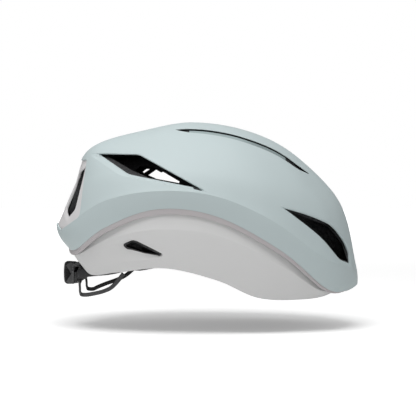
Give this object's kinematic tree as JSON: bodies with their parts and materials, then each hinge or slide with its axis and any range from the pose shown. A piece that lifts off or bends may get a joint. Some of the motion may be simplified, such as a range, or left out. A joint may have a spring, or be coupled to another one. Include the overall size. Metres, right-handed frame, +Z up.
{
  "type": "road bike helmet",
  "caption": "Aero road cycling helmet with a two-tone shell, side and top vents, foam liner, pads, stowed chin straps and a dial-tightened rear cradle.",
  "frame": {"origin": "on the table plane below the middle of the length and width", "axes": "+X towards the front, +Y to the wearer's left, +Z up"},
  "size_m": [0.2842, 0.2046, 0.163],
  "materials": {
    "shell_teal": "matte",
    "panel_grey": "matte",
    "trim_mauve": "matte",
    "shell_white": "matte",
    "foam_black": "moulded bead foam",
    "plastic_black": "fine texture",
    "band_grey": "fine texture",
    "arm_grey": "fine texture",
    "dial_grey": "fine texture",
    "rubber_black": "ribbed",
    "pad_fabric": "brushed knit",
    "webbing": "woven"
  },
  "bodies": {
    "helmet": {"upper_shell": "shell_teal", "outer_foam": "foam_black", "rear_panel": "panel_grey", "edge_trim": "trim_mauve", "slot_floor_left": "shell_teal", "slot_floor_right": "shell_teal", "lower_shell": "shell_white", "inner_foam": "foam_black", "temple_anchor_left": "plastic_black", "temple_anchor_right": "plastic_black", "stem": "band_grey", "height_guide": "plastic_black", "brow_pad": "pad_fabric", "crown_pad": "pad_fabric", "rear_pad": "pad_fabric", "side_pad_left": "pad_fabric", "side_pad_right": "pad_fabric", "strap_front_left": "webbing", "strap_front_right": "webbing", "strap_rear_left": "webbing", "strap_rear_right": "webbing", "strap_chin_left": "webbing", "strap_chin_right": "webbing", "divider_left": "plastic_black", "divider_right": "plastic_black", "buckle_socket": "plastic_black"},
    "headband": {"band_left": "band_grey", "band_right": "band_grey"},
    "cradle": {"housing": "dial_grey", "housing_cover": "dial_grey", "arm_left": "arm_grey", "arm_right": "arm_grey"},
    "dial": {"knob": "plastic_black", "knob_grip": "rubber_black", "pinion": "plastic_black"},
    "rack_left": {"rack_left": "band_grey"},
    "rack_right": {"rack_right": "band_grey"},
    "buckle_plug": {"buckle_plug": "plastic_black"}
  },
  "joints": [
    {"name": "height_tilt", "type": "hinge", "parent": "helmet", "child": "headband", "pos_m": [0.035, 0, 0.048], "axis": [0, -1, 0], "range_deg": [0, 8], "deforming": ["stem"]},
    {"name": "tighten", "type": "slide", "parent": "headband", "child": "cradle", "axis": [1, 0, 0], "range_m": [0, 0.014], "deforming": ["band_left", "band_right", "stem"]},
    {"name": "dial_turn", "type": "hinge", "parent": "cradle", "child": "dial", "pos_m": [-0.1215, 0, 0.0206], "axis": [1, 0, 0], "range_deg": [0, 201]},
    {"name": "rack_left_slide", "type": "slide", "parent": "cradle", "child": "rack_left", "axis": [0, -1, 0], "range_m": [0, 0.014], "deforming": ["band_left"]},
    {"name": "rack_right_slide", "type": "slide", "parent": "cradle", "child": "rack_right", "axis": [0, 1, 0], "range_m": [0, 0.014], "deforming": ["band_right"]},
    {"name": "buckle_release", "type": "slide", "parent": "helmet", "child": "buckle_plug", "axis": [0, -1, 0], "range_m": [0, 0.018], "deforming": ["strap_chin_right"]}
  ],
  "couplings": [
    {"joint": "dial_turn", "follows": "tighten", "rad_per_m": 250},
    {"joint": "rack_left_slide", "follows": "tighten", "ratio": 1},
    {"joint": "rack_right_slide", "follows": "tighten", "ratio": 1}
  ]
}
